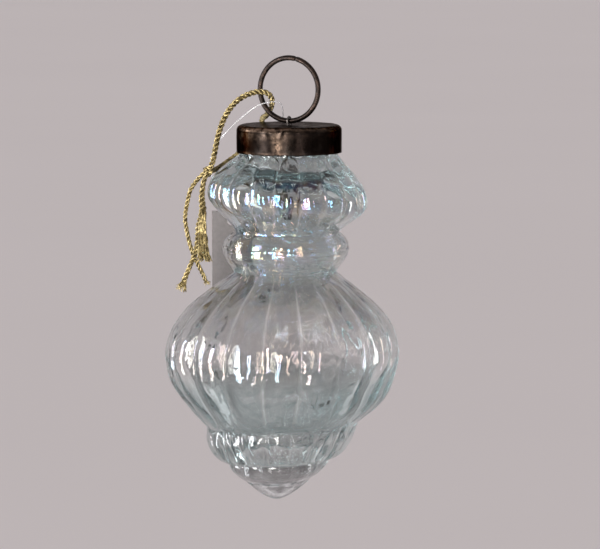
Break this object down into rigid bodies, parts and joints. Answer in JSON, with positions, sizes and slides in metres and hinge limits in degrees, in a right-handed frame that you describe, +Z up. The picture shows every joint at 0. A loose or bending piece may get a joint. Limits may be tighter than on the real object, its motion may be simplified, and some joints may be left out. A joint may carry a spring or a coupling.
{
  "type": "hanging ornament",
  "caption": "Blown glass finial ornament with fluted bulbs, a metal cap and a wire hanging ring, with a gold cord and a bare card tag.",
  "frame": {"origin": "where the top of the ring's inside rests on a hook", "axes": "+Z up, along the hanging line; the ring lies in the XZ plane and a hook goes through it along Y"},
  "size_m": [0.0756, 0.0758, 0.1437],
  "materials": {
    "clear_glass": "clear blown glass with a faint aqua tint and a thin lustre",
    "antique_copper": "antique copper plating, darkened, with bright rubbed edges",
    "clip_wire": "dull spring wire",
    "bronze_wire": "dark bronze wire",
    "gold_cord": "twisted metallic gold thread",
    "clear_thread": "clear nylon monofilament",
    "tag_card": "bare grey card"
  },
  "bodies": {
    "ring": {"hanging_ring": "bronze_wire"},
    "cap": {"metal_cap": "antique_copper", "spring_clip": "clip_wire", "cord_loop": "gold_cord", "cord_knot": "gold_cord", "cord_tail_front": "gold_cord", "cord_tail_fray": "gold_cord", "cord_tail_side": "gold_cord", "tag_thread": "clear_thread", "thread_knot": "clear_thread", "hang_tag": "tag_card"},
    "glass": {"glass_body": "clear_glass"}
  },
  "joints": [
    {"name": "ring_swing", "type": "hinge", "parent": "ring", "child": "cap", "pos_m": [0, 0, -0.01945], "axis": [1, 0, 0], "range_deg": [-88, 88], "deforming": ["cord_loop", "tag_thread"]},
    {"name": "cap_pull", "type": "slide", "parent": "cap", "child": "glass", "axis": [0, 0, -1], "range_m": [0, 0.03]}
  ]
}
